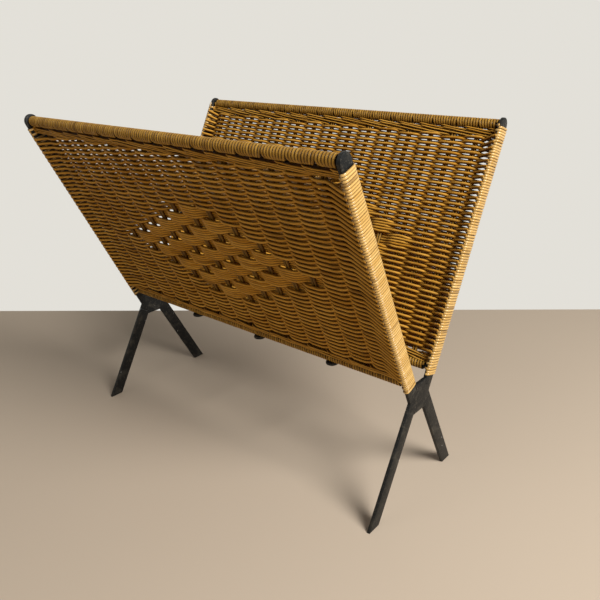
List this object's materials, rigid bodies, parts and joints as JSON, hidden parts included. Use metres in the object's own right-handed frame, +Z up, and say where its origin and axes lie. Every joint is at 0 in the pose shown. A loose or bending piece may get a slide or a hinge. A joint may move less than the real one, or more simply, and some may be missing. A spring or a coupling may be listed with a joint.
{
  "type": "magazine rack",
  "caption": "Free-standing magazine rack: woven rattan panels in a V, hung in flat steel end frames on splayed legs.",
  "frame": {"origin": "centre of the footprint on the floor, under the middle of the V", "axes": "+X along the rails, +Y across the V towards the rear panel, +Z up"},
  "size_m": [0.4606, 0.315, 0.407],
  "materials": {
    "black_steel": "satin black paint, rubbed at edges",
    "rattan_weave": "satin varnished honey rattan",
    "rattan_binding": "satin varnished rattan, slightly darker",
    "rattan_stake": "satin varnished rattan, in shade"
  },
  "bodies": {
    "root": {"cross_tie_1": "black_steel", "cross_tie_2": "black_steel", "cross_tie_3": "black_steel", "left_knuckle_plate": "black_steel", "front_leg_left": "black_steel", "rear_leg_left": "black_steel", "right_knuckle_plate": "black_steel", "front_leg_right": "black_steel", "rear_leg_right": "black_steel", "front_side_bar_left": "black_steel", "front_side_bar_right": "black_steel", "front_top_rail_rod": "black_steel", "front_bottom_rail_rod": "black_steel", "rear_side_bar_left": "black_steel", "rear_side_bar_right": "black_steel", "rear_top_rail_rod": "black_steel", "rear_bottom_rail_rod": "black_steel", "front_woven_panel": "rattan_weave", "front_top_border": "rattan_weave", "front_bottom_border": "rattan_weave", "front_top_rail_wrap": "rattan_binding", "front_bottom_rail_wrap": "rattan_binding", "front_stake_01": "rattan_stake", "front_stake_02": "rattan_stake", "front_stake_03": "rattan_stake", "front_stake_04": "rattan_stake", "front_stake_05": "rattan_stake", "front_stake_06": "rattan_stake", "front_stake_07": "rattan_stake", "front_stake_08": "rattan_stake", "front_stake_09": "rattan_stake", "front_stake_10": "rattan_stake", "front_stake_11": "rattan_stake", "front_stake_12": "rattan_stake", "front_stake_13": "rattan_stake", "front_stake_14": "rattan_stake", "front_stake_15": "rattan_stake", "rear_woven_panel": "rattan_weave", "rear_top_border": "rattan_weave", "rear_bottom_border": "rattan_weave", "rear_top_rail_wrap": "rattan_binding", "rear_bottom_rail_wrap": "rattan_binding", "rear_stake_01": "rattan_stake", "rear_stake_02": "rattan_stake", "rear_stake_03": "rattan_stake", "rear_stake_04": "rattan_stake", "rear_stake_05": "rattan_stake", "rear_stake_06": "rattan_stake", "rear_stake_07": "rattan_stake", "rear_stake_08": "rattan_stake", "rear_stake_09": "rattan_stake", "rear_stake_10": "rattan_stake", "rear_stake_11": "rattan_stake", "rear_stake_12": "rattan_stake", "rear_stake_13": "rattan_stake", "rear_stake_14": "rattan_stake", "rear_stake_15": "rattan_stake"}
  },
  "joints": []
}
